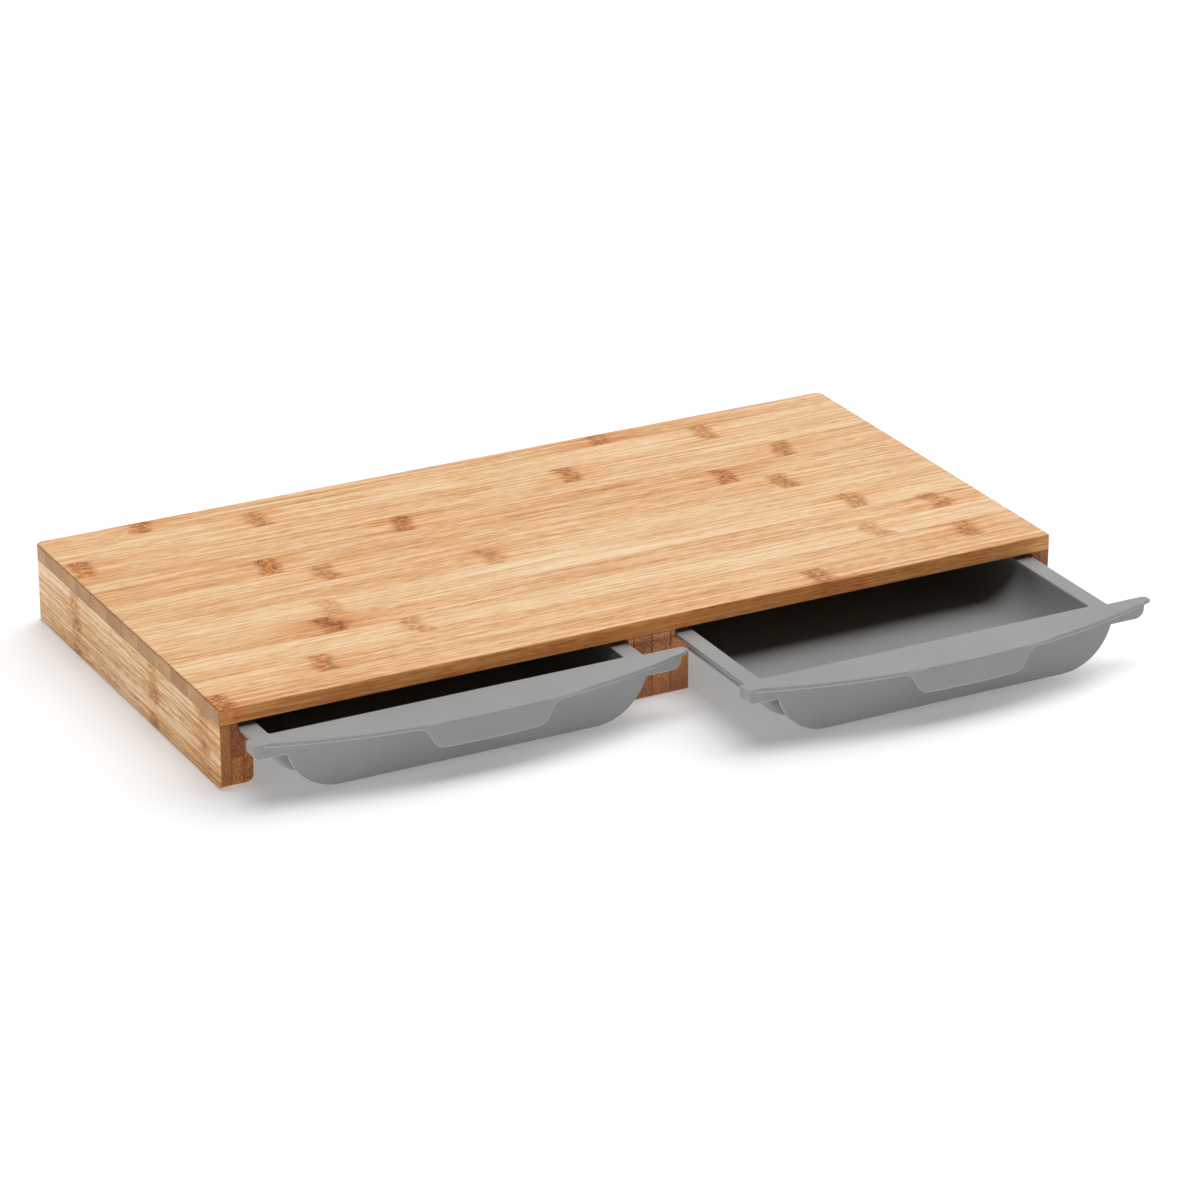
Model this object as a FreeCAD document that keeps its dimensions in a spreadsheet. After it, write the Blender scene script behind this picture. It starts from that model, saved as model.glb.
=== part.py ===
"""A bamboo cutting board on three rails, with two moulded trays that slide out from under it.

Frame: the origin is on the table, under the middle of the board. +X runs along the board, to the
right of someone who faces the trays, +Y runs to the back and +Z up. Sizes are in millimetres.
The trays stand as they rest: the left one a little open and the right one about a third open.
"""

import FreeCAD
import Part
import Sketcher

import math
import os
from types import SimpleNamespace

TOLERANCE = 0.01

SIZES = [
    # The board
    ("board_length", 540.0, "left to right"),
    ("board_depth", 270.0, "front to back"),
    ("board_height", 49.0, "table to cutting surface"),
    ("panel_thickness", 9.5, "of the cutting panel"),
    ("front_corner_radius", 1.0, "of the board's upright corners at the front"),
    ("back_corner_radius", 4.5, "of the board's upright corners at the back"),
    ("top_edge_radius", 0.8, "round the cutting surface"),
    ("foot_edge_radius", 1.5, "round the bottom"),
    ("front_strip_width", 20.0, "of the bamboo strip at the front edge"),
    ("strip_width", 23.3, "of each full bamboo strip"),
    # The rails under the panel
    ("side_rail_top_width", 11.0, "above the ledge"),
    ("side_rail_foot_width", 20.0, "below the ledge"),
    ("side_outer_lamella", 6.6, "width of the outer lamella"),
    ("side_inner_line", 13.9, "from the board's side to the second upright glue line"),
    ("side_core_height", 19.0, "of the glue line that splits the middle lamella"),
    ("foot_round_radius", 6.0, "of the side rails' lower inner edge"),
    ("foot_front_radius", 1.0, "of the side rails' upright inner edge at the front"),
    ("centre_rail_top_width", 30.0, "above the ledges"),
    ("centre_rail_foot_width", 47.6, "below the ledges"),
    ("back_rail_thickness", 16.0, "front to back"),
    # The trays
    ("left_tray_opening", 17.7, "how far the left tray stands out"),
    ("right_tray_opening", 79.7, "how far the right tray stands out"),
    ("tray_rear_clearance", 1.0, "between a closed tray's rim and the back rail"),
    ("tray_wall", 1.8, "of the basin"),
    ("rim_height", 36.6, "of the rim's upper face above the table"),
    ("rim_thickness", 2.3, "of the rim"),
    ("ledge_clearance", 0.3, "between the rim and the ledges under it"),
    ("rim_width", 11.0, "from the opening to the rim's outer edge"),
    ("rim_side_clearance", 0.8, "between the rim and the rails, each side"),
    ("rim_chamfer", 0.5, "of the rim's inner edge"),
    ("rim_rear_radius", 8.0, "of the rim's rear corners"),
    ("floor_height", 11.0, "of the basin's floor above the table"),
    ("basin_side_radius", 24.0, "between the floor and the side walls"),
    ("basin_front_radius", 1.5, "between the front wall and the floor and sides"),
    ("basin_rear_radius", 12.0, "between the rear wall and the floor and sides"),
    ("basin_setback", 2.5, "from the handle's back line to the basin's front wall"),
    # The front of a tray, measured from the middle of its rim
    ("front_drop", 2.9, "gap between the front panel and the table"),
    ("front_thickness", 2.0, "of the front panel and the ears"),
    ("front_setback", 8.8, "from the handle's back line to the front panel's face"),
    ("front_shift", 7.0, "of the front panel's middle, to the right"),
    ("front_width", 225.0, "of the front panel under the ears"),
    ("front_panel_radius", 33.0, "of the front panel's lower corners"),
    ("ear_left", 125.0, "from the middle to the left ear's end"),
    ("ear_right", 141.2, "from the middle to the right ear's end"),
    ("ear_height", 9.0, "top of the rim to the bottom of the ears"),
    ("ear_left_radius", 4.5, "of the left ear's lower corner"),
    ("ear_right_radius", 5.5, "of the right ear's lower corner"),
    ("ear_plan_radius", 3.5, "of the left ear's upright corner"),
    ("handle_thickness", 2.2, "of the bowed plate"),
    ("handle_tip", 147.6, "from the middle to the plate's right end"),
    ("handle_tip_radius", 3.6, "of the plate's back corner at its right end"),
    ("handle_edge_radius", 1.2, "along the plate's front edge"),
    ("bow_peak", 9.3, "from the middle to where the plate is deepest"),
    ("bow_depth", 21.1, "of the plate in front of the front panel's face"),
    ("bow_chord", 128.4, "from the peak to where the bow meets the panel's face"),
    ("tab_shift", 11.1, "of the finger tab's middle, to the right"),
    ("tab_top_width", 81.4, "of the finger tab at the plate"),
    ("tab_bottom_width", 67.0, "of the finger tab at its lower edge"),
    ("tab_height", 15.2, "top of the rim to the tab's lower edge"),
    ("tab_thickness", 2.0, "of the finger tab"),
    ("tab_radius", 7.5, "of the tab's wavy ends"),
]

DOC = FreeCAD.newDocument("cutting_board")


class Length:
    """A size worked out from the sheet: its value, and the expression that binds it."""

    def __init__(self, value, text):
        self.value = value
        self.text = text

    def __add__(self, other):
        other = as_length(other)
        return Length(self.value + other.value, f"({self.text} + {other.text})")

    def __sub__(self, other):
        other = as_length(other)
        return Length(self.value - other.value, f"({self.text} - {other.text})")

    def __mul__(self, other):
        other = as_length(other)
        return Length(self.value * other.value, f"({self.text} * {other.text})")

    def __truediv__(self, other):
        other = as_length(other)
        return Length(self.value / other.value, f"({self.text} / {other.text})")

    def __neg__(self):
        return Length(-self.value, f"(-1 * {self.text})")


def as_length(number):
    """A plain number as a Length."""
    return number if isinstance(number, Length) else Length(number, repr(number))


def fill_sheet():
    """The spreadsheet of driving sizes, and the same sizes as Lengths."""
    sheet = DOC.addObject("Spreadsheet::Sheet", "Sizes")
    for row, (alias, value, note) in enumerate(SIZES, start=1):
        sheet.set(f"A{row}", alias)
        sheet.set(f"B{row}", str(value))
        sheet.set(f"C{row}", note)
        sheet.setAlias(f"B{row}", alias)
    DOC.recompute()
    return SimpleNamespace(**{alias: Length(value, f"Sizes.{alias}") for alias, value, _ in SIZES})


s = fill_sheet()
ZERO = as_length(0.0)


def bind(item, name, size):
    """Sets a property to a size, and binds it to the sheet."""
    size = as_length(size)
    if "." not in name:
        setattr(item, name, size.value)
    item.setExpression(name, size.text)


def place(item, x=ZERO, y=ZERO, z=ZERO):
    """Gives an object a Placement that follows the sheet."""
    x, y, z = as_length(x), as_length(y), as_length(z)
    item.Placement = FreeCAD.Placement(FreeCAD.Vector(x.value, y.value, z.value), FreeCAD.Rotation())
    for axis, size in (("x", x), ("y", y), ("z", z)):
        item.setExpression(f"Placement.Base.{axis}", size.text)


def box(name, x, y, z):
    """A block between two limits along each axis."""
    block = DOC.addObject("Part::Box", name)
    for prop, (low, high) in (("Length", x), ("Width", y), ("Height", z)):
        bind(block, prop, as_length(high) - low)
    place(block, x[0], y[0], z[0])
    return block


def add_sketch(body, plane, height):
    """A sketch on one of the body's own planes, moved along the plane's normal by height."""
    sketch = body.newObject("Sketcher::SketchObject", f"{body.Name}_{plane}")
    role = f"{plane}_Plane"
    support = next(item for item in body.Origin.OriginFeatures if item.Role == role)
    sketch.AttachmentSupport = [(support, "")]
    sketch.MapMode = "FlatFace"
    sketch.AttachmentOffset = FreeCAD.Placement(FreeCAD.Vector(0, 0, height.value), FreeCAD.Rotation())
    sketch.setExpression("AttachmentOffset.Base.z", height.text)
    return sketch


def pin_point(sketch, geometry, end, point):
    """Holds one end of a line or arc at a point of the sketch's plane."""
    for kind, size in zip(("DistanceX", "DistanceY"), point):
        size = as_length(size)
        index = sketch.addConstraint(Sketcher.Constraint(kind, -1, 1, geometry, end, size.value))
        sketch.setExpression(f"Constraints[{index}]", size.text)


def polygon(sketch, points):
    """A closed outline of straight lines through points that follow the sheet."""
    corners = [FreeCAD.Vector(as_length(a).value, as_length(b).value, 0) for a, b in points]
    count = len(corners)
    for i in range(count):
        sketch.addGeometry(Part.LineSegment(corners[i], corners[(i + 1) % count]), False)
    for i in range(count):
        sketch.addConstraint(Sketcher.Constraint("Coincident", i, 2, (i + 1) % count, 1))
        pin_point(sketch, i, 1, points[i])


def add_pad(body, sketch, length):
    """Extrudes a sketch along its normal."""
    pad = body.newObject("PartDesign::Pad", f"{body.Name}_pad")
    pad.Profile = sketch
    bind(pad, "Length", length)
    DOC.recompute()
    return pad


def upright(body, points, z):
    """Pads a plan outline between two heights."""
    sketch = add_sketch(body, "XY", as_length(z[0]))
    polygon(sketch, points)
    return add_pad(body, sketch, as_length(z[1]) - z[0])


def lengthwise(body, points, y):
    """Pads an outline seen from the front between two places along Y. The plane faces -Y."""
    sketch = add_sketch(body, "XZ", -as_length(y[1]))
    polygon(sketch, points)
    return add_pad(body, sketch, as_length(y[1]) - y[0])


def rectangle(a, b):
    """The four corners of a rectangle between two limits along each of two axes."""
    return [(a[0], b[0]), (a[1], b[0]), (a[1], b[1]), (a[0], b[1])]


def new_body(name):
    """An empty body."""
    return DOC.addObject("PartDesign::Body", name)


def edges_where(feature, test):
    """The names of a feature's edges whose bounding boxes pass a test."""
    found = []
    for number, edge in enumerate(feature.Shape.Edges, start=1):
        if test(edge.BoundBox):
            found.append(f"Edge{number}")
    return found


def near(a, b):
    """Whether two values are the same but for rounding."""
    return abs(a - as_length(b).value) < TOLERANCE


def flat_at(low, high, place_on_axis):
    """Whether a bounding box is flat along an axis, at a place on it."""
    return near(low, place_on_axis) and near(high, place_on_axis)


def add_fillet(body, feature, radius, test):
    """Rounds the edges of a feature that pass a test."""
    fillet = body.newObject("PartDesign::Fillet", f"{body.Name}_fillet")
    fillet.Base = (feature, edges_where(feature, test))
    bind(fillet, "Radius", radius)
    DOC.recompute()
    return fillet


def add_chamfer(body, feature, size, test):
    """Chamfers the edges of a feature that pass a test."""
    chamfer = body.newObject("PartDesign::Chamfer", f"{body.Name}_chamfer")
    chamfer.Base = (feature, edges_where(feature, test))
    bind(chamfer, "Size", size)
    DOC.recompute()
    return chamfer


def combine(kind, name, items):
    """A union or intersection of several objects."""
    result = DOC.addObject(f"Part::{kind}", name)
    result.Shapes = items
    result.Refine = True
    return result


def subtract(name, base, tool):
    """One object less another."""
    result = DOC.addObject("Part::Cut", name)
    result.Base = base
    result.Tool = tool
    result.Refine = True
    return result


# Places that several pieces share

HALF_LENGTH = s.board_length / 2
HALF_DEPTH = s.board_depth / 2
RAIL_HEIGHT = s.board_height - s.panel_thickness
LEDGE_HEIGHT = s.rim_height - s.rim_thickness - s.ledge_clearance
SLOT_OUTER = HALF_LENGTH - s.side_rail_top_width
SLOT_INNER = s.centre_rail_top_width / 2
TRAY_MIDDLE = (SLOT_OUTER + SLOT_INNER) / 2
RIM_HALF = (SLOT_OUTER - SLOT_INNER) / 2 - s.rim_side_clearance
BASIN_HALF = RIM_HALF - s.rim_width
TRAY_LENGTH = s.board_depth - s.back_rail_thickness - s.tray_rear_clearance
BASIN_REAR = TRAY_LENGTH - s.rim_width
FRONT_FACE = -s.front_setback
FRONT_BACK = FRONT_FACE + s.front_thickness
PLATE_UNDERSIDE = s.rim_height - s.handle_thickness
EAR_BOTTOM = s.rim_height - s.ear_height
TAB_BOTTOM = s.rim_height - s.tab_height


# The board

def board_form():
    """The outside of the whole board, which trims the strips and the rails."""
    body = new_body("board_form")
    plan = rectangle((-HALF_LENGTH, HALF_LENGTH), (-HALF_DEPTH, HALF_DEPTH))
    block = upright(body, plan, (ZERO, s.board_height))
    front = add_fillet(
        body,
        block,
        s.front_corner_radius,
        lambda b: b.ZLength > s.board_height.value / 2 and b.YMax < 0,
    )
    corners = add_fillet(
        body,
        front,
        s.back_corner_radius,
        lambda b: b.ZLength > s.board_height.value / 2 and b.YMin > 0,
    )
    top = add_fillet(body, corners, s.top_edge_radius, lambda b: flat_at(b.ZMin, b.ZMax, s.board_height))
    add_fillet(body, top, s.foot_edge_radius, lambda b: flat_at(b.ZMin, b.ZMax, ZERO))
    return body


def strip_lines():
    """The glue lines of the panel, from its front edge to its back edge."""
    lines = [-HALF_DEPTH, s.front_strip_width - HALF_DEPTH]
    while (lines[-1] + s.strip_width * 1.5).value < HALF_DEPTH.value:
        lines.append(lines[-1] + s.strip_width)
    return lines + [HALF_DEPTH]


def top_strips(form):
    """The cutting panel: bamboo strips side by side, numbered from the front."""
    lines = strip_lines()
    strips = []
    for number, (front, back) in enumerate(zip(lines, lines[1:]), start=1):
        name = f"top_strip_{number:02d}"
        z = (RAIL_HEIGHT, s.board_height)
        blank = box(f"{name}_blank", (-HALF_LENGTH, HALF_LENGTH), (front, back), z)
        strips.append(combine("MultiCommon", name, [form, blank]))
    return strips


def side_rail_form(name, side):
    """A side rail's section: full width below the ledge, narrower above it. side is -1 or 1."""
    outer = HALF_LENGTH * side
    foot = (HALF_LENGTH - s.side_rail_foot_width) * side
    top = SLOT_OUTER * side
    section = [
        (outer, ZERO),
        (foot, ZERO),
        (foot, LEDGE_HEIGHT),
        (top, LEDGE_HEIGHT),
        (top, RAIL_HEIGHT),
        (outer, RAIL_HEIGHT),
    ]
    body = new_body(name)
    rail = lengthwise(body, section, (-HALF_DEPTH, HALF_DEPTH))
    upright_edge = add_fillet(
        body,
        rail,
        s.foot_front_radius,
        lambda b: flat_at(b.XMin, b.XMax, foot) and flat_at(b.YMin, b.YMax, -HALF_DEPTH),
    )
    add_fillet(
        body,
        upright_edge,
        s.foot_round_radius,
        lambda b: flat_at(b.XMin, b.XMax, foot) and flat_at(b.ZMin, b.ZMax, ZERO),
    )
    return body


def side_rail(form, label, side):
    """A side rail's four glued lamellas."""
    section = side_rail_form(f"{label}_form", side)
    outside = HALF_LENGTH * side
    first_line = (HALF_LENGTH - s.side_outer_lamella) * side
    second_line = (HALF_LENGTH - s.side_inner_line) * side
    foot = (HALF_LENGTH - s.side_rail_foot_width) * side
    whole = (ZERO, RAIL_HEIGHT)
    lamellas = {
        "outer": (outside, first_line, whole),
        "lower_core": (first_line, second_line, (ZERO, s.side_core_height)),
        "upper_core": (first_line, second_line, (s.side_core_height, RAIL_HEIGHT)),
        "runner": (second_line, foot, whole),
    }
    pieces = []
    for part, (a, b, z) in lamellas.items():
        x = (a, b) if a.value < b.value else (b, a)
        blank = box(f"{label}_{part}_blank", x, (-HALF_DEPTH, HALF_DEPTH), z)
        pieces.append(combine("MultiCommon", f"{label}_{part}", [form, section, blank]))
    return pieces


def centre_rail(form):
    """The centre rail's four glued lamellas, numbered from the left."""
    foot = s.centre_rail_foot_width / 2
    top = SLOT_INNER
    outline = [
        (-foot, ZERO),
        (foot, ZERO),
        (foot, LEDGE_HEIGHT),
        (top, LEDGE_HEIGHT),
        (top, RAIL_HEIGHT),
        (-top, RAIL_HEIGHT),
        (-top, LEDGE_HEIGHT),
        (-foot, LEDGE_HEIGHT),
    ]
    section = new_body("centre_rail_form")
    lengthwise(section, outline, (-HALF_DEPTH, HALF_DEPTH))
    lines = [-foot, -foot / 2, ZERO, foot / 2, foot]
    pieces = []
    for number, x in enumerate(zip(lines, lines[1:]), start=1):
        name = f"centre_rail_lamella_{number}"
        blank = box(f"{name}_blank", x, (-HALF_DEPTH, HALF_DEPTH), (ZERO, RAIL_HEIGHT))
        pieces.append(combine("MultiCommon", name, [form, section, blank]))
    return pieces


def back_rail(form, label, side):
    """The rail that closes a tray's bay at the back, with its ends notched over the ledges."""
    top = sorted([SLOT_INNER * side, SLOT_OUTER * side], key=lambda size: size.value)
    centre_foot = s.centre_rail_foot_width / 2
    side_foot = HALF_LENGTH - s.side_rail_foot_width
    foot = sorted([centre_foot * side, side_foot * side], key=lambda size: size.value)
    outline = [
        (foot[0], ZERO),
        (foot[1], ZERO),
        (foot[1], LEDGE_HEIGHT),
        (top[1], LEDGE_HEIGHT),
        (top[1], RAIL_HEIGHT),
        (top[0], RAIL_HEIGHT),
        (top[0], LEDGE_HEIGHT),
        (foot[0], LEDGE_HEIGHT),
    ]
    blank = new_body(f"{label}_blank")
    lengthwise(blank, outline, (HALF_DEPTH - s.back_rail_thickness, HALF_DEPTH))
    return combine("MultiCommon", label, [form, blank])


# The trays, each drawn about the middle of its rim, with y = 0 at the handle's back line

def basin_form(name, grow, top):
    """The basin's inside, with round edges, made bigger by grow on every side. top is its height."""
    body = new_body(name)
    half = BASIN_HALF + grow
    front = s.basin_setback - grow
    rear = BASIN_REAR + grow
    bottom = s.floor_height - grow
    block = lengthwise(body, rectangle((-half, half), (bottom, top)), (front, rear))
    sides = add_fillet(
        body,
        block,
        s.basin_side_radius + grow,
        lambda b: flat_at(b.ZMin, b.ZMax, bottom) and b.YLength > b.XLength,
    )
    front_end = add_fillet(
        body,
        sides,
        s.basin_front_radius + grow,
        lambda b: flat_at(b.YMin, b.YMax, front) and b.ZMin < as_length(top).value - TOLERANCE,
    )
    add_fillet(
        body,
        front_end,
        s.basin_rear_radius + grow,
        lambda b: flat_at(b.YMin, b.YMax, rear) and b.ZMin < as_length(top).value - TOLERANCE,
    )
    return body


def tray_shell(name):
    """The basin and its rim, open at the top, with the rim's inner edge chamfered."""
    outside = basin_form(f"{name}_outside", s.tray_wall, s.rim_height)
    inside = basin_form(f"{name}_inside", ZERO, s.rim_height)
    rim = new_body(f"{name}_rim")
    plan = rectangle((-RIM_HALF, RIM_HALF), (FRONT_BACK, TRAY_LENGTH))
    plate = upright(rim, plan, (s.rim_height - s.rim_thickness, s.rim_height))
    add_fillet(
        rim,
        plate,
        s.rim_rear_radius,
        lambda b: flat_at(b.YMin, b.YMax, TRAY_LENGTH) and b.XLength < TOLERANCE,
    )
    solid = combine("MultiFuse", f"{name}_solid", [outside, rim])
    basin = subtract(f"{name}_basin", solid, inside)
    DOC.recompute()
    shell = new_body(name)
    shell.BaseFeature = basin
    DOC.recompute()
    add_chamfer(
        shell,
        shell.Tip,
        s.rim_chamfer,
        lambda b: flat_at(b.ZMin, b.ZMax, s.rim_height) and is_round_the_opening(b),
    )
    return shell


def is_round_the_opening(b):
    """Whether an edge of the rim's upper face goes round the basin's opening."""
    inside_x = max(abs(b.XMin), abs(b.XMax)) < BASIN_HALF.value + TOLERANCE
    inside_y = b.YMin > s.basin_setback.value - TOLERANCE and b.YMax < BASIN_REAR.value + TOLERANCE
    return inside_x and inside_y


def bow_outline(sketch, shift):
    """The handle plate's plan: a straight back line and a bowed front line, both moved along +Y by shift."""
    left = -(s.ear_left - s.front_thickness / 2)
    right = s.handle_tip
    radius = (s.bow_chord * s.bow_chord + s.bow_depth * s.bow_depth) / (s.bow_depth * 2)
    centre = (s.bow_peak, FRONT_FACE - s.bow_depth + radius + shift)
    middle = FreeCAD.Vector(centre[0].value, centre[1].value, 0)
    corners = {}
    for end in (left, right):
        reach = (end - s.bow_peak).value
        front = middle.y - math.sqrt(radius.value ** 2 - reach ** 2)
        corners[end] = (FreeCAD.Vector(end.value, front, 0), FreeCAD.Vector(end.value, shift.value, 0))
    front_left, back_left = corners[left]
    front_right, back_right = corners[right]
    circle = Part.Circle(middle, FreeCAD.Vector(0, 0, 1), radius.value)
    first = math.atan2(front_left.y - middle.y, front_left.x - middle.x)
    last = math.atan2(front_right.y - middle.y, front_right.x - middle.x)
    sketch.addGeometry(Part.ArcOfCircle(circle, first, last), False)
    sketch.addGeometry(Part.LineSegment(front_right, back_right), False)
    sketch.addGeometry(Part.LineSegment(back_right, back_left), False)
    sketch.addGeometry(Part.LineSegment(back_left, front_left), False)
    arc, right_end, back, left_end = range(4)
    start, end, middle_point = 1, 2, 3
    for one, other in ((arc, right_end), (right_end, back), (back, left_end), (left_end, arc)):
        sketch.addConstraint(Sketcher.Constraint("Coincident", one, end, other, start))
    pin_point(sketch, arc, middle_point, centre)
    pin_point(sketch, back, start, (right, shift))
    pin_point(sketch, back, end, (left, shift))
    sketch.addConstraint(Sketcher.Constraint("Vertical", right_end))
    sketch.addConstraint(Sketcher.Constraint("Vertical", left_end))
    index = sketch.addConstraint(Sketcher.Constraint("Radius", arc, radius.value))
    sketch.setExpression(f"Constraints[{index}]", radius.text)


def bow_form(name, z, shift=ZERO):
    """The plan of the handle plate, padded between two heights."""
    body = new_body(name)
    sketch = add_sketch(body, "XY", z[0])
    bow_outline(sketch, shift)
    add_pad(body, sketch, z[1] - z[0])
    return body


def handle_plate(name):
    """The bowed plate that the fingers push and pull, with its front edge rounded."""
    body = bow_form(name, (PLATE_UNDERSIDE, s.rim_height))
    tip = add_fillet(
        body,
        body.Tip,
        s.handle_tip_radius,
        lambda b: flat_at(b.XMin, b.XMax, s.handle_tip) and b.YMin > -TOLERANCE * 10 and b.ZLength > 1,
    )
    add_fillet(
        body,
        tip,
        s.handle_edge_radius,
        lambda b: flat_at(b.ZMin, b.ZMax, s.rim_height) and b.YMin < FRONT_FACE.value - 1,
    )
    return body


def front_panel(name):
    """The flat front below the handle plate, with large round lower corners."""
    body = new_body(name)
    half = s.front_width / 2
    x = (s.front_shift - half, s.front_shift + half)
    panel = lengthwise(body, rectangle(x, (s.front_drop, s.rim_height)), (FRONT_FACE, FRONT_BACK))
    add_fillet(
        body,
        panel,
        s.front_panel_radius,
        lambda b: flat_at(b.ZMin, b.ZMax, s.front_drop) and b.XLength < TOLERANCE,
    )
    return body


def ears(name):
    """The ends of the front beyond the panel: an upright band that turns back at its left end."""
    left = -s.ear_left
    right = s.ear_right
    inner_left = left + s.front_thickness
    z = (EAR_BOTTOM, s.rim_height)
    plan = [
        (left, FRONT_FACE),
        (right, FRONT_FACE),
        (right, FRONT_BACK),
        (inner_left, FRONT_BACK),
        (inner_left, ZERO),
        (left, ZERO),
    ]
    band = new_body(f"{name}_band")
    strip = upright(band, plan, z)
    add_fillet(
        band,
        strip,
        s.ear_plan_radius,
        lambda b: flat_at(b.XMin, b.XMax, left) and flat_at(b.YMin, b.YMax, FRONT_FACE),
    )
    face = new_body(f"{name}_face")
    outline = lengthwise(face, rectangle((left, right), z), (FRONT_FACE, ZERO))
    first = add_fillet(
        face,
        outline,
        s.ear_left_radius,
        lambda b: flat_at(b.XMin, b.XMax, left) and flat_at(b.ZMin, b.ZMax, EAR_BOTTOM),
    )
    add_fillet(
        face,
        first,
        s.ear_right_radius,
        lambda b: flat_at(b.XMin, b.XMax, right) and flat_at(b.ZMin, b.ZMax, EAR_BOTTOM),
    )
    return combine("MultiCommon", name, [band, face])


def finger_tab(name):
    """The wavy tab under the middle of the plate: its outline from the front, bent to the plate's bow."""
    bottom = s.tab_bottom_width / 2
    top = s.tab_top_width / 2
    edge = top + s.tab_radius
    outline = [
        (s.tab_shift - edge, s.rim_height - s.handle_edge_radius),
        (s.tab_shift - edge, PLATE_UNDERSIDE),
        (s.tab_shift - top, PLATE_UNDERSIDE),
        (s.tab_shift - bottom, TAB_BOTTOM),
        (s.tab_shift + bottom, TAB_BOTTOM),
        (s.tab_shift + top, PLATE_UNDERSIDE),
        (s.tab_shift + edge, PLATE_UNDERSIDE),
        (s.tab_shift + edge, s.rim_height - s.handle_edge_radius),
    ]
    block = new_body(f"{name}_block")
    pad = lengthwise(block, outline, (FRONT_FACE - s.bow_depth, FRONT_FACE))
    inner = top.value + TOLERANCE
    add_fillet(
        block,
        pad,
        s.tab_radius,
        lambda b: b.XLength < TOLERANCE and b.ZLength < TOLERANCE and abs(b.XMin - s.tab_shift.value) < inner,
    )
    z = (TAB_BOTTOM, s.rim_height)
    outer_form = bow_form(f"{name}_outside", z)
    inner_form = bow_form(f"{name}_inside", z, s.tab_thickness)
    bent = combine("MultiCommon", f"{name}_bent", [block, outer_form])
    return subtract(name, bent, inner_form)


def tray(label, x, opening):
    """One moulded tray, standing out of its bay by opening."""
    band_x = (s.front_thickness - s.ear_left, s.ear_right)
    band = box(f"{label}_band", band_x, (FRONT_BACK, ZERO), (PLATE_UNDERSIDE, s.rim_height))
    pieces = [
        tray_shell(f"{label}_shell"),
        handle_plate(f"{label}_plate"),
        band,
        front_panel(f"{label}_front"),
        ears(f"{label}_ears"),
        finger_tab(f"{label}_tab"),
    ]
    whole = combine("MultiFuse", label, pieces)
    place(whole, x, -HALF_DEPTH - opening)
    return whole


def build():
    """Every piece of the board, in the order of its bench parts list."""
    form = board_form()
    pieces = top_strips(form)
    pieces += side_rail(form, "left_rail", -1) + side_rail(form, "right_rail", 1) + centre_rail(form)
    pieces += [back_rail(form, "back_rail_left", -1), back_rail(form, "back_rail_right", 1)]
    pieces.append(tray("left_tray", -TRAY_MIDDLE, s.left_tray_opening))
    pieces.append(tray("right_tray", TRAY_MIDDLE, s.right_tray_opening))
    return pieces


def check_and_export(pieces):
    """Stops on a failed feature or a bad shape, and otherwise writes each piece to parts/."""
    DOC.recompute()
    failed = [item.Name for item in DOC.Objects if {"Invalid", "Error"} & set(item.State)]
    if failed:
        raise RuntimeError(f"these features failed: {failed}")
    os.makedirs("parts", exist_ok=True)
    for piece in pieces:
        shape = piece.Shape
        if shape.isNull() or not shape.isValid() or len(shape.Solids) != 1:
            raise RuntimeError(f"{piece.Label} isn't one valid solid")
    for piece in pieces:
        piece.Shape.exportStep(f"parts/{piece.Label}.step")
        low, high = piece.Shape.BoundBox.ZMin, piece.Shape.BoundBox.ZMax
        print(f"{piece.Label}: {piece.Shape.Volume / 1000:.1f} cm3, z {low:.1f} to {high:.1f}")


check_and_export(build())
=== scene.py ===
"""The looks of the bamboo cutting board and its two grey trays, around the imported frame."""

import math

import bpy
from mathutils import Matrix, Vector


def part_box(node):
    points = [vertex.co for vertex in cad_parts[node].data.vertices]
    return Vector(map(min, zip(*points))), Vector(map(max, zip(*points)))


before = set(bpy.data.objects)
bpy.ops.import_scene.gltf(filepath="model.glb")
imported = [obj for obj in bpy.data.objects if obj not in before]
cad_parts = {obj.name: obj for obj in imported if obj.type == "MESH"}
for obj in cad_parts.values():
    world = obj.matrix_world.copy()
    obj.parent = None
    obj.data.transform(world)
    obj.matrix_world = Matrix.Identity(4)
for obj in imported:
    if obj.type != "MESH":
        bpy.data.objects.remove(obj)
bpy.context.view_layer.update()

MM = 0.001
WHITE = (1.0, 1.0, 1.0, 1.0)


def srgb(red, green, blue):
    """A colour as seen on a screen, from 0 to 255, as the linear colour that a shader takes."""
    linear = [((v / 255 + 0.055) / 1.055) ** 2.4 for v in (red, green, blue)]
    return (*linear, 1.0)


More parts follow.
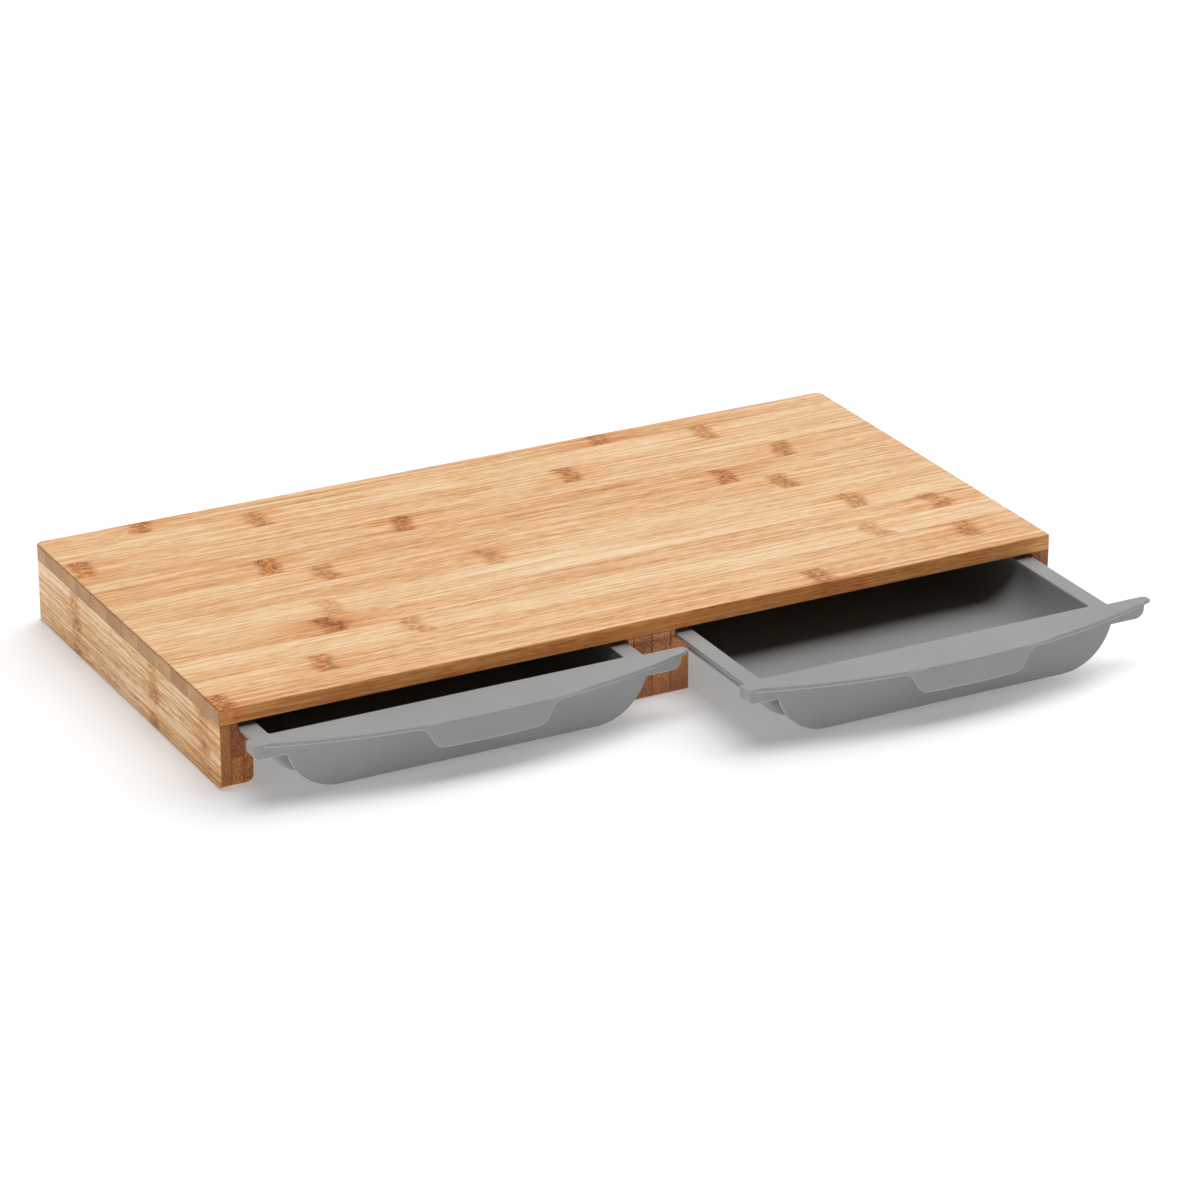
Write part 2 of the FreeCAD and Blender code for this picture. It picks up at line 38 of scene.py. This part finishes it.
class Nodes:
    """Short calls that add nodes to one material and give back their output sockets."""

    def __init__(self, name):
        self.material = bpy.data.materials.new(name)
        self.material.use_nodes = True
        self.tree = self.material.node_tree
        self.shader = self.tree.nodes["Principled BSDF"]

    def feed(self, socket, value):
        """Links a socket to another one, or sets it to a constant."""
        if isinstance(value, bpy.types.NodeSocket):
            self.tree.links.new(value, socket)
        else:
            socket.default_value = value

    def add(self, kind, values, output=0, **settings):
        """Adds a shader node with its input values and settings, and gives back one output."""
        node = self.tree.nodes.new("ShaderNode" + kind)
        for key, setting in settings.items():
            setattr(node, key, setting)
        for key, value in values.items():
            self.feed(node.inputs[key], value)
        return node.outputs[output]

    def math(self, operation, *values):
        return self.add("Math", dict(enumerate(values)), operation=operation)

    def scaled(self, value, factor):
        return self.math("MULTIPLY", value, factor)

    def vector(self, operation, *values, output=0):
        return self.add("VectorMath", dict(enumerate(values)), output, operation=operation)

    def mix(self, factor, one, other, blend="MIX"):
        return self.add("Mix", {0: factor, 6: one, 7: other}, 2, data_type="RGBA", blend_type=blend)

    def tinted(self, factor, colour, tint):
        return self.mix(factor, colour, tint, "MULTIPLY")

    def noise(self, vector, detail, roughness=0.5):
        values = {"Vector": vector, "Scale": 1.0, "Detail": detail, "Roughness": roughness}
        return self.add("TexNoise", values)

    def step(self, value, low, high, start=0.0, end=1.0):
        """A smooth step from start to end as value goes from low to high."""
        values = {"Value": value, "From Min": low, "From Max": high, "To Min": start, "To Max": end}
        return self.add("MapRange", values, interpolation_type="SMOOTHSTEP")

    def ramp(self, value, positions, colours):
        node = self.tree.nodes.new("ShaderNodeValToRGB")
        self.feed(node.inputs[0], value)
        elements = node.color_ramp.elements
        while len(elements) < len(positions):
            elements.new(0.5)
        for element, position, colour in zip(elements, positions, colours):
            element.position = position
            element.color = colour
        return node.outputs[0]

    def total(self, first, *others):
        for other in others:
            first = self.math("ADD", first, other)
        return first

    def highest(self, first, *others):
        for other in others:
            first = self.math("MAXIMUM", first, other)
        return first


def dress(node, material):
    """Gives a CAD node's object a better material."""
    thing = bpy.data.objects[node]
    for slot in thing.material_slots:
        slot.material = material


# Bamboo

# Where the grain takes each of its five colours, from its darkest lines to its palest
GRAIN_STEPS = (0.0, 0.3, 0.52, 0.75, 1.0)
DARKEST = 0
DARK = 1
MIDDLE = 2
PALEST = 4
PANEL_COLOURS = [
    srgb(186, 116, 60),
    srgb(220, 157, 99),
    srgb(235, 187, 136),
    srgb(245, 208, 162),
    srgb(251, 225, 188),
]
RAIL_COLOURS = [
    srgb(156, 102, 54),
    srgb(198, 148, 96),
    srgb(222, 180, 130),
    srgb(238, 204, 158),
    srgb(250, 226, 188),
]
# The centre rail's grain, paler than the side rails': painted light that lifts its shaded front end
CENTRE_PAINTED_LIGHT_COLOURS = [
    srgb(178, 114, 70),
    srgb(206, 144, 94),
    srgb(246, 190, 138),
    srgb(248, 198, 148),
    srgb(250, 210, 164),
]
# What the node marks and the stain round them multiply the bamboo's colour by
NODE_BROWN = (0.36, 0.27, 0.26, 1.0)
NODE_STAIN = (0.93, 0.56, 0.2, 1.0)
# The glue lines, and the painted shade along the rounded arrises
SEAM_AND_SHADE_BROWN = srgb(118, 70, 38)

# Layers of noise: cells a metre along the fibres and across them, detail, and roughness
GRAIN_LAYERS = {
    "bands": (2.2, 110, 3.0, 0.5),
    "streaks": (6.5, 380, 4.0, 0.65),
    "lines": (10.0, 640, 2.0, 0.6),
    "fibres": (24.0, 1250, 3.0, 0.7),
    "dashes": (110.0, 900, 2.0, 0.5),
    "patches": (9.0, 40, 2.0, 0.5),
}
GRAIN_WEIGHTS = {"bands": 0.38, "streaks": 0.62, "lines": 0.85, "fibres": 1.3, "dashes": 0.9, "patches": 0.3}
GRAIN_LEVEL = 0.52
FOOT_SHADE = -0.14
FOOT_SHADE_TOP = 35 * MM
# Long single hairs over the grain: cells a metre along and across, and which of the grain's colours they take
HAIRS = [(5.0, 480, DARK), (7.0, 560, DARK), (6.0, 530, PALEST)]
HAIR_STRENGTH = 0.55
# How far the fibres stray sideways, and how far a node's line bends
STRAYING = 9 * MM
NODE_BEND = 16 * MM
MARK_LAYERS = {
    "mottle": (240, 420, 3.0, 0.7),
    "fleck": (380, 620, 2.0),
    "smear": (12, 330, 2.0),
    "fade": (8, 75, 1.0),
    "bend": (0.0, 60, 1.0),
}
# How far a mark reaches from its line: whole up to the first distance, and gone at the second
BAND_REACH = (3 * MM, 10 * MM)
STAIN_REACH = (4 * MM, 40 * MM)
KNOT_REACH = (2 * MM, 15 * MM)
KNOT_STRETCH = 1.6
MARKS_ON_FRONT = 0.35
# Half the width of the glue lines, which sink in more at the ends
FACE_SEAM = 0.45 * MM
END_SEAM = 0.9 * MM
END_SEAM_GAIN = 1.5
# How strongly the painted shade darkens the arrises
ARRIS_SHADE_STRENGTH = 0.65
SPECKLE_CELLS = (90, 1150, 1150)
BLOCK_LAYER = (0.0, 48, 1.0)


class Bamboo(Nodes):
    """Solid bamboo: fibres along one axis, node marks across them, and speckled end grain.

    Each piece has its own seed, so that no two have the same grain.
    """

    def __init__(self, name, along, seed, colours):
        super().__init__(name)
        self.along = along
        self.across = "Y" if along == "X" else "X"
        self.colours = colours
        place = self.add("TexCoord", {}, "Object")
        normal = self.add("TexCoord", {}, "Normal")
        self.axes = {axis: self.add("SeparateXYZ", {0: place}, axis) for axis in "XYZ"}
        self.facing = {axis: self.add("SeparateXYZ", {0: normal}, axis) for axis in "XYZ"}
        turned = {0: self.axes[along], 1: self.axes[self.across], 2: self.axes["Z"]}
        start = (seed * 1.37, seed * 2.11, seed * 0.73)
        self.grain = self.vector("ADD", self.add("CombineXYZ", turned), start)
        self.fibre = self.vector("ADD", self.grain, self.straying())
        self.layers = {kind: self.layer(*cells) for kind, cells in GRAIN_LAYERS.items()}
        self.at_front = self.step(self.facing["Y"], -0.85, -0.5, 1.0, 0.0)
        self.at_back = self.step(self.facing["Y"], 0.5, 0.85)
        self.at_ends = self.step(self.math("ABSOLUTE", self.facing[along]), 0.55, 0.85)

    def straying(self):
        """A slow sideways shift, so that the fibres don't run dead straight."""
        spread = self.vector("MULTIPLY", self.grain, (2.6, 9.0, 9.0))
        noise = self.add("TexNoise", {"Vector": spread, "Scale": 1.0, "Detail": 1.0}, "Color")
        centred = self.vector("SUBTRACT", noise, (0.5, 0.5, 0.5))
        return self.vector("MULTIPLY", centred, (0.0, STRAYING, STRAYING))

    def layer(self, along, across, detail, roughness=0.5):
        """Noise stretched along the fibres, centred on 0, with so many cells a metre each way."""
        spread = self.vector("MULTIPLY", self.fibre, (along, across, across))
        return self.math("SUBTRACT", self.noise(spread, detail, roughness), 0.5)

    def away_from(self, axis, place):
        """The distance from a place on an axis."""
        return self.math("ABSOLUTE", self.math("SUBTRACT", self.axes[axis], place))

    def grained(self, tone, contrast):
        """The grain's colour, paler with a higher tone. The rails are darker towards their feet."""
        weighted = [self.scaled(self.layers[kind], weight) for kind, weight in GRAIN_WEIGHTS.items()]
        value = self.scaled(self.total(*weighted), contrast)
        value = self.math("ADD", value, GRAIN_LEVEL + tone)
        if self.along == "Y":
            shade = self.step(self.axes["Z"], 0.0, FOOT_SHADE_TOP, FOOT_SHADE, 0.04)
            value = self.math("ADD", value, shade)
        colour = self.ramp(value, GRAIN_STEPS, self.colours)
        for along, across, hair_colour in HAIRS:
            hairs = self.step(self.layer(along, across, 1.0), 0.11, 0.15, 0.0, HAIR_STRENGTH)
            colour = self.mix(hairs, colour, self.colours[hair_colour])
        return colour

    def knot(self, offset, middle):
        """A dark spot where a mark crosses the piece's middle line, longer along the fibres than across."""
        across = self.scaled(self.math("SUBTRACT", self.axes[self.across], middle), KNOT_STRETCH)
        squares = [self.math("POWER", value, 2.0) for value in (offset, across)]
        return self.step(self.math("SQRT", self.total(*squares)), *KNOT_REACH, 1.0, 0.0)

    def node_marks(self, marks, middle):
        """How brown a node's mottled band is here, its pale flecks, and the softer stain round it."""
        layers = {kind: self.layer(*cells) for kind, cells in MARK_LAYERS.items()}
        mottle = self.step(layers["mottle"], -0.08, 0.08, 0.12, 1.0)
        fleck = self.step(layers["fleck"], 0.05, 0.16)
        smear = self.step(layers["smear"], -0.1, 0.12)
        faintest = 0.3 if self.along == "Y" else 0.9
        fade = self.step(layers["fade"], -0.16, 0.04, faintest, 1.0)
        bend = self.scaled(layers["bend"], NODE_BEND)
        bands = []
        stains = []
        knots = []
        for place, strength in marks:
            offset = self.total(self.axes[self.along], bend, -place)
            distance = self.math("ABSOLUTE", offset)
            peak = min(strength, 1.0)
            bands.append(self.step(distance, *BAND_REACH, peak, 0.0))
            stains.append(self.step(distance, *STAIN_REACH, peak, 0.0))
            if strength > 1:
                knots.append(self.knot(offset, middle))
        core = self.math("MULTIPLY", self.highest(*bands), fade)
        brown = self.scaled(self.math("MULTIPLY", core, mottle), 0.95)
        if knots:
            mottled = self.math("ADD", self.scaled(mottle, 0.4), 0.6)
            brown = self.highest(brown, self.math("MULTIPLY", self.highest(*knots), mottled))
        stain = self.scaled(self.math("MULTIPLY", self.highest(*stains), smear), 0.7)
        return brown, self.math("MULTIPLY", core, fleck), self.highest(core, stain)

    def marked(self, colour, marks, middle):
        """The colour with node marks, which are fainter on the panel's front edge.

        Each mark is its place along the fibres and its strength, which is over 1 where it has a knot.
        """
        brown, fleck, stain = self.node_marks(marks, middle)
        if self.along == "X":
            shown = self.step(self.at_front, 0.0, 1.0, 1.0, MARKS_ON_FRONT)
            brown = self.math("MULTIPLY", brown, shown)
            stain = self.math("MULTIPLY", stain, shown)
        colour = self.tinted(self.scaled(stain, 0.95), colour, NODE_STAIN)
        colour = self.tinted(brown, colour, NODE_BROWN)
        return self.mix(self.scaled(fleck, 0.4), colour, self.colours[MIDDLE])

    def glued(self, colour, seams, width, strength):
        """The colour with thin glue lines, each at a place on an axis."""
        lines = [self.step(self.away_from(*seam), 0.1 * MM, width, 1.0, 0.0) for seam in seams]
        return self.mix(self.scaled(self.highest(*lines), strength), colour, SEAM_AND_SHADE_BROWN)

    def cut(self, contrast):
        """The end grain: blocks of fibres, whose cut ends show as speckles as contrast nears 1."""
        spread = self.vector("MULTIPLY", self.grain, SPECKLE_CELLS)
        speckle = self.step(self.noise(spread, 2.0, 0.6), 0.36, 0.64)
        blocks = self.step(self.layer(*BLOCK_LAYER), -0.12, 0.12)
        speckled = self.mix(speckle, self.colours[DARKEST], self.colours[MIDDLE])
        plain = self.mix(blocks, self.colours[DARK], self.colours[MIDDLE])
        return self.mix(contrast, plain, speckled)

    def painted_arris_shade(self, colour, shaded_arrises):
        """The colour with painted shade along arrises: each is two places on axes, and how far the painted
        shade reaches.
        """
        found = []
        for one, other, reach in shaded_arrises:
            sides = [self.step(self.away_from(*place), 0.0, reach, 1.0, 0.0) for place in (one, other)]
            found.append(self.math("MULTIPLY", *sides))
        return self.mix(self.scaled(self.highest(*found), ARRIS_SHADE_STRENGTH), colour, SEAM_AND_SHADE_BROWN)

    def finish(self, tone, seams, seam_strength, end_tint, marks=(), middle=0.0, contrast=1.0,
               end_contrast=1.0, front_tint=WHITE, back_tint=WHITE, shaded_arrises=()):
        """Puts the piece's colours together, and gives back its material. A tint multiplies a colour."""
        colour = self.grained(tone, contrast)
        if marks:
            colour = self.marked(colour, marks, middle)
        colour = self.glued(colour, seams, FACE_SEAM, seam_strength)
        colour = self.tinted(self.at_front, colour, front_tint)
        ends = self.tinted(1.0, self.cut(end_contrast), end_tint)
        ends = self.tinted(self.at_back, ends, back_tint)
        ends = self.glued(ends, seams, END_SEAM, END_SEAM_GAIN * seam_strength)
        colour = self.mix(self.at_ends, colour, ends)
        # Painted shade: a darker colour along the given arrises
        if shaded_arrises:
            colour = self.painted_arris_shade(colour, shaded_arrises)
        self.feed(self.shader.inputs["Base Color"], colour)
        self.surface()
        return self.material

    def surface(self):
        """Bare sanded wood: matte, with the fibres just raised."""
        streaks = self.layers["streaks"]
        lines = self.layers["lines"]
        fibres = self.layers["fibres"]
        rough = self.total(0.5, self.scaled(streaks, 0.35), self.scaled(fibres, 0.2))
        self.feed(self.shader.inputs["Roughness"], rough)
        height = self.total(self.scaled(streaks, 0.4), self.scaled(lines, 0.6), self.scaled(fibres, 0.6))
        bump = {"Strength": 0.4, "Distance": 0.2 * MM, "Height": height}
        self.feed(self.shader.inputs["Normal"], self.add("Bump", bump))
        self.shader.inputs["Specular IOR Level"].default_value = 0.3


# The board's sizes

HALF_LENGTH = 270 * MM
HALF_DEPTH = 135 * MM
HEIGHT = 49 * MM
PANEL_UNDERSIDE = 39.5 * MM
LOWER_CORE_TOP = 19 * MM
# The glue lines between a side rail's lamellas, out from the board's middle, and between the centre rail's
SIDE_RAIL_SEAMS = (263.4 * MM, 256.1 * MM)
CENTRE_RAIL_SEAMS = (-11.9 * MM, 0.0, 11.9 * MM)

# The panel's strips from the back: the tone, and the node marks as millimetres from the left end and strength

STRIPS = [
    (-0.07, [(62, 0.9), (372, 0.8)]),
    (0.08, [(132, 0.8), (440, 0.8)]),
    (0.0, [(8, 0.8), (329, 0.9)]),
    (0.0, [(205, 0.9), (468, 0.8)]),
    (-0.08, [(107, 1.0), (414, 0.9)]),
    (0.02, [(135, 0.7), (443, 0.8)]),
    (0.04, [(229, 0.55)]),
    (0.11, [(114, 0.5), (464, 0.8)]),
    (-0.08, [(105, 1.2), (510, 0.8)]),
    (0.12, [(146, 0.55), (451, 0.6)]),
    (0.0, [(77, 0.8), (500, 0.8)]),
    (-0.08, [(7, 0.9), (388, 0.8)]),
]
# How far the painted shade reaches from the panel's top end arrises and its front-left corner
PANEL_ARRIS_SHADE = 1.3 * MM


def panel_end_tint(index):
    """Every other strip of the panel has a darker end."""
    share = 1.0 - 0.14 * (index % 2)
    return tuple(part * share for part in srgb(216, 216, 210))


for index, (tone, marks) in enumerate(STRIPS):
    number = len(STRIPS) - index
    node = f"top_strip_{number:02d}"
    low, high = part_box(node)
    seams = [("Y", y) for y in (low[1], high[1]) if abs(y) < HALF_DEPTH - MM]
    # Painted shade along both top end arrises, and down the front-left corner of the front strip
    shaded_arrises = [(("X", sign * HALF_LENGTH), ("Z", HEIGHT), PANEL_ARRIS_SHADE) for sign in (-1, 1)]
    if number == 1:
        shaded_arrises.append((("X", -HALF_LENGTH), ("Y", -HALF_DEPTH), PANEL_ARRIS_SHADE))
    strip = Bamboo(f"bamboo_{node}", "X", index + 1, PANEL_COLOURS)
    dress(node, strip.finish(
        tone,
        seams + [("Z", PANEL_UNDERSIDE)],
        seam_strength=0.2,
        end_tint=panel_end_tint(index),
        marks=[(place * MM - HALF_LENGTH, strength) for place, strength in marks],
        middle=(low[1] + high[1]) / 2,
        end_contrast=0.35,
        front_tint=srgb(240, 208, 168),
        shaded_arrises=shaded_arrises,
    ))


# The rails. Node marks as millimetres along the rail, counted from the board's middle, and strength

RAIL_MARKS = {
    "left_rail_outer": [(73, 0.8), (-42, 0.7), (-114, 0.8)],
    "right_rail_outer": [(-88, 0.8), (31, 0.8), (109, 0.6)],
    "back_rail_left": [(-155, 0.5), (-70, 0.4)],
    "back_rail_right": [(60, 0.5), (201, 0.5)],
}
# The parts of a side rail: the tone, the tint of the ends, and how much these show their speckles
SIDE_RAIL_PARTS = {
    "outer": (0.03, srgb(206, 168, 134), 0.55),
    "lower_core": (0.1, srgb(228, 190, 148), 1.0),
    "upper_core": (-0.2, srgb(180, 136, 106), 1.0),
    "runner": (0.06, srgb(218, 178, 136), 1.0),
}
# The lamellas of the centre rail, from the left: the tone and the tint of the ends. The pale end tints are
# painted light on the shaded front ends
CENTRE_LAMELLAS = [
    (0.02, srgb(255, 238, 222)),
    (-0.04, srgb(230, 208, 190)),
    (0.06, srgb(255, 236, 218)),
    (-0.05, srgb(236, 214, 196)),
]
# How far the painted shade on a side rail's rounded bottom arrises reaches
SIDE_RAIL_ARRIS_SHADE = 3 * MM
# How far the painted shade reaches up and back from the centre rail's front bottom arris
CENTRE_RAIL_LOW_SHADE = 32 * MM


def rail_marks(node):
    """A rail's node marks in metres, if it has any."""
    return [(place * MM, strength) for place, strength in RAIL_MARKS.get(node, [])]


def dress_side_rail(side, sign):
    """A side rail's four parts. Its bottom arrises are painted dark along the outside and at the front, as
    painted shade on the rounded foot edge.
    """
    outside = ("X", sign * HALF_LENGTH)
    front = ("Y", -HALF_DEPTH)
    bottom = ("Z", 0.0)
    for number, (part, (tone, end_tint, end_contrast)) in enumerate(SIDE_RAIL_PARTS.items()):
        node = f"{side}_rail_{part}"
        seams = [("X", sign * x) for x in SIDE_RAIL_SEAMS] + [("Z", PANEL_UNDERSIDE)]
        if "core" in part:
            seams.append(("Z", LOWER_CORE_TOP))
        lamella = Bamboo(f"bamboo_{node}", "Y", 20 + number + 7 * sign, RAIL_COLOURS)
        dress(node, lamella.finish(
            tone,
            seams,
            seam_strength=0.45,
            end_tint=end_tint,
            marks=rail_marks(node),
            contrast=1.12,
            end_contrast=end_contrast,
            shaded_arrises=[(outside, bottom, SIDE_RAIL_ARRIS_SHADE), (front, bottom, SIDE_RAIL_ARRIS_SHADE)],
        ))


def dress_back_rail(side, sign):
    """The rail that closes one bay at the back, out of the camera's sight."""
    node = f"back_rail_{side}"
    rail = Bamboo(f"bamboo_{node}", "X", 40 + sign, RAIL_COLOURS)
    dress(node, rail.finish(
        0.0,
        [("Z", PANEL_UNDERSIDE)],
        seam_strength=0.3,
        end_tint=srgb(218, 178, 136),
        marks=rail_marks(node),
        contrast=1.35,
        front_tint=srgb(230, 220, 210),
    ))


def dress_centre_rail():
    """The centre rail's front is in the shade and is painted lighter, so its back end gets a darker tint to
    match the others.
    """
    seams = [("X", x) for x in CENTRE_RAIL_SEAMS] + [("Z", PANEL_UNDERSIDE)]
    for number, (tone, end_tint) in enumerate(CENTRE_LAMELLAS, 1):
        node = f"centre_rail_lamella_{number}"
        lamella = Bamboo(f"bamboo_{node}", "Y", 50 + number, CENTRE_PAINTED_LIGHT_COLOURS)
        dress(node, lamella.finish(
            tone,
            seams,
            seam_strength=0.5,
            end_tint=end_tint,
            back_tint=srgb(190, 176, 160),
            # Painted shade over the centre rail's lower front, where the trays shade it
            shaded_arrises=[(("Y", -HALF_DEPTH), ("Z", 0.0), CENTRE_RAIL_LOW_SHADE)],
        ))


for side, sign in (("left", -1), ("right", 1)):
    dress_side_rail(side, sign)
    dress_back_rail(side, sign)
dress_centre_rail()


# Moulded plastic

PLASTIC_GREYS = (srgb(147, 149, 148), srgb(157, 158, 157))
TEXTURE_GREY = srgb(120, 122, 124)
# The painted highlight's grey along the thin edges
EDGE_HIGHLIGHT_GREY = srgb(216, 217, 217)
EDGE_WIDTH = 0.7 * MM
TEXTURE_CELLS = 1500
CLOUD_CELLS = 14


def moulded(name, seed):
    """Fine matte grey plastic, with a painted highlight along its thin edges, though not low on the basin."""
    plastic = Nodes(name)
    place = plastic.add("TexCoord", {}, "Object")
    height = plastic.add("SeparateXYZ", {0: place}, "Z")
    place = plastic.vector("ADD", place, (seed, seed, seed))
    cloud = plastic.noise(plastic.vector("MULTIPLY", place, (CLOUD_CELLS,) * 3), 3.0)
    texture = plastic.noise(plastic.vector("MULTIPLY", place, (TEXTURE_CELLS,) * 3), 2.0)
    soft = plastic.add("Bevel", {"Radius": EDGE_WIDTH}, samples=8)
    sharp = plastic.add("NewGeometry", {}, "Normal")
    flatness = plastic.vector("DOT_PRODUCT", soft, sharp, output=1)
    # Painted highlight, where the bevelled normal turns away from the true one
    edge_highlight = plastic.step(flatness, 0.9, 0.995, 0.85, 0.0)
    edge_highlight = plastic.math("MULTIPLY", edge_highlight, plastic.step(height, 13 * MM, 20 * MM))
    colour = plastic.ramp(cloud, (0.3, 0.7), PLASTIC_GREYS)
    colour = plastic.mix(plastic.step(texture, 0.35, 0.65, 0.0, 0.12), colour, TEXTURE_GREY)
    colour = plastic.mix(edge_highlight, colour, EDGE_HIGHLIGHT_GREY)
    plastic.feed(plastic.shader.inputs["Base Color"], colour)
    plastic.feed(plastic.shader.inputs["Roughness"], plastic.step(texture, 0.3, 0.7, 0.46, 0.6))
    bump = {"Strength": 0.12, "Distance": 0.1 * MM, "Height": texture, "Normal": soft}
    plastic.feed(plastic.shader.inputs["Normal"], plastic.add("Bump", bump))
    plastic.shader.inputs["Specular IOR Level"].default_value = 0.35
    return plastic.material


dress("left_tray", moulded("grey_left_tray", 1.0))
dress("right_tray", moulded("grey_right_tray", 2.0))


# Camera: to the left in front of the board, and looking down on it

CAMERA_LENS = 142.3
CAMERA_PLACE = (-1.1788, -2.2752, 1.1171)
CAMERA_DEGREES = (66.73, -0.105, -27.97)

camera_data = bpy.data.cameras.new("camera")
camera_data.lens = CAMERA_LENS
camera_data.sensor_width = 36.0
camera_data.clip_start = 0.1
camera = bpy.data.objects.new("camera", camera_data)
camera.location = CAMERA_PLACE
camera.rotation_euler = [math.radians(degrees) for degrees in CAMERA_DEGREES]
bpy.context.scene.collection.objects.link(camera)
bpy.context.scene.camera = camera
bpy.context.scene.view_settings.view_transform = "Standard"


# Floor: a lit white table, just below the feet so that from below the two don't coincide

FLOOR = -0.1 * MM
FLOOR_REACH = 6.0
FLOOR_GLOW = 0.26


def white_table():
    white = bpy.data.materials.new("floor_white")
    white.use_nodes = True
    shader = white.node_tree.nodes["Principled BSDF"]
    shader.inputs["Base Color"].default_value = (0.85, 0.86, 0.87, 1)
    shader.inputs["Roughness"].default_value = 0.9
    shader.inputs["Specular IOR Level"].default_value = 0.0
    shader.inputs["Emission Color"].default_value = WHITE
    shader.inputs["Emission Strength"].default_value = FLOOR_GLOW
    return white


corners = [(x * FLOOR_REACH, y * FLOOR_REACH, FLOOR) for x, y in ((-1, -1), (1, -1), (1, 1), (-1, 1))]
floor_mesh = bpy.data.meshes.new("floor")
floor_mesh.from_pydata(corners, [], [(0, 1, 2, 3)])
floor = bpy.data.objects.new("floor", floor_mesh)
floor.data.materials.append(white_table())
bpy.context.scene.collection.objects.link(floor)


# Light

WORLD_STRENGTH = 0.05

world = bpy.data.worlds.new("world")
world.use_nodes = True
background = world.node_tree.nodes["Background"]
background.inputs["Color"].default_value = WHITE
background.inputs["Strength"].default_value = WORLD_STRENGTH
bpy.context.scene.world = world


def place_light(name, data, place):
    """Puts a light at a place, pointing at the origin."""
    light = bpy.data.objects.new(name, data)
    light.location = place
    x, y, z = place
    light.rotation_euler = (math.atan2(math.hypot(x, y), z), 0.0, math.atan2(-y, -x) - math.pi / 2)
    bpy.context.scene.collection.objects.link(light)
    return light


def sun_light(name, place, width, strength):
    """A far light that shines from a place towards the origin, width degrees wide."""
    data = bpy.data.lights.new(name, "SUN")
    data.energy = strength
    data.angle = math.radians(width)
    place_light(name, data, place)


def area_light(name, place, size, power):
    """A square light at a place, which the camera doesn't see."""
    data = bpy.data.lights.new(name, "AREA")
    data.energy = power
    data.size = size
    place_light(name, data, place).visible_camera = False


sun_light("key", (0.0, 0.1, 2.0), width=40, strength=1.3)
sun_light("overhead", (1.9, 0.9, 2.0), width=64, strength=2.25)
sun_light("left_side", (-2.0, 0.4, 0.15), width=14, strength=1.02)
area_light("low_front", (-0.9, -3.0, 0.08), size=0.24, power=21.0)
